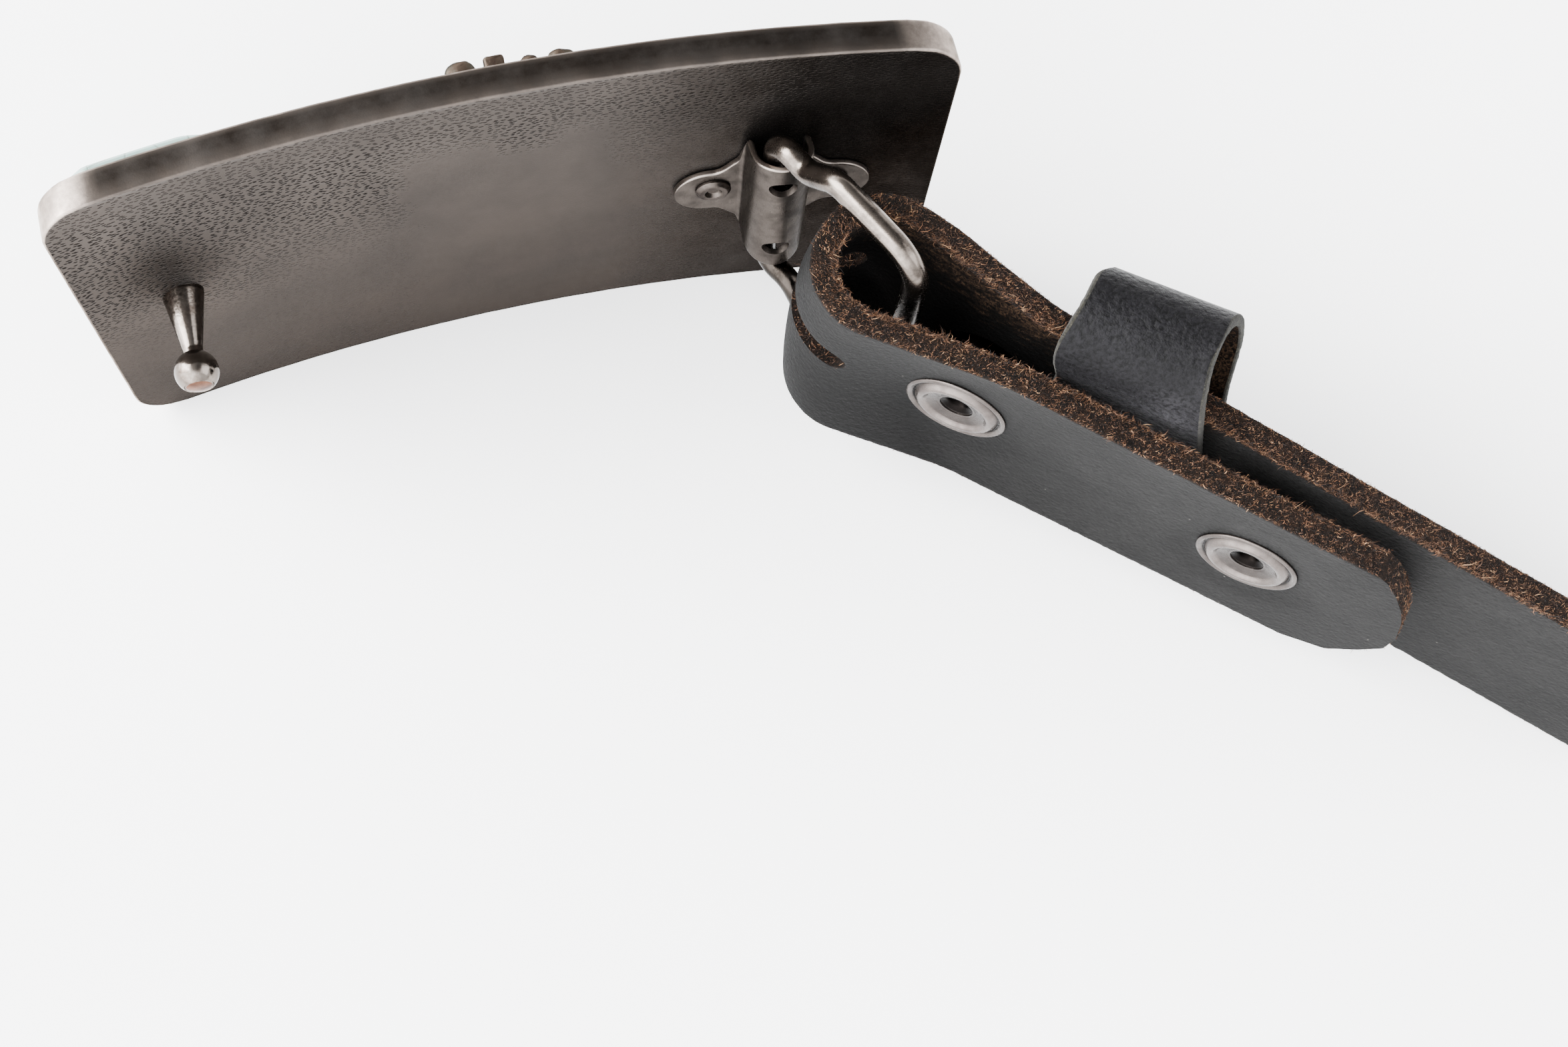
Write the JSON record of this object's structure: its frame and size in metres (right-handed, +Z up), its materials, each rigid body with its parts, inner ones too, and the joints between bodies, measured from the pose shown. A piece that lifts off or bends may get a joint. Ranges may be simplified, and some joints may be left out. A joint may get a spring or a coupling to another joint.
{
  "type": "ceramic belt buckle with its leather strap end",
  "caption": "Curved rectangular plate buckle with a glazed ceramic front, a hook stud and a hinged wire bail that carries a folded leather strap end with two snaps and a keeper.",
  "frame": {"origin": "middle of the plate's hollow back, on the surface that the plate's long edge stands on", "axes": "+X along the plate's long side towards the hinge bracket, +Y out of the ceramic front, +Z up across the plate's height"},
  "size_m": [0.1835, 0.1068, 0.059],
  "materials": {
    "antique_nickel": "antiqued nickel plate with fine dark pitting on the back, worn bright at the corners",
    "glazed_ceramic": "glazed ceramic: pale green-blue crackled glaze over a light body",
    "antique_bronze": "dark antique bronze relief with worn high points",
    "polished_stud": "polished nickel, worn to a coppery flat at its end",
    "brushed_bracket": "satin nickel sheet, bright along its edges",
    "rivet_metal": "satin nickel",
    "polished_wire": "polished nickel wire with fine scratches",
    "strap_leather": "black leather with a fine dark grey grain and raw brown cut edges",
    "snap_nickel": "nickel plated",
    "keeper_leather": "smooth black leather with pale cut edges"
  },
  "bodies": {
    "buckle": {"plate": "antique_nickel", "ceramic_tile": "glazed_ceramic", "ornament": "antique_bronze", "hook_stud": "polished_stud", "bracket": "brushed_bracket", "rivet_left": "rivet_metal", "rivet_right": "rivet_metal"},
    "bail": {"bail": "polished_wire", "strap": "strap_leather", "snap_ring_1": "snap_nickel", "snap_ring_2": "snap_nickel", "snap_cap_1": "snap_nickel", "snap_cap_2": "snap_nickel", "keeper": "keeper_leather"}
  },
  "joints": [
    {"name": "bail_hinge", "type": "hinge", "parent": "buckle", "child": "bail", "pos_m": [0.0315, -0.0055, 0.0302], "axis": [0, 0, 1], "range_deg": [-96, 40]}
  ]
}
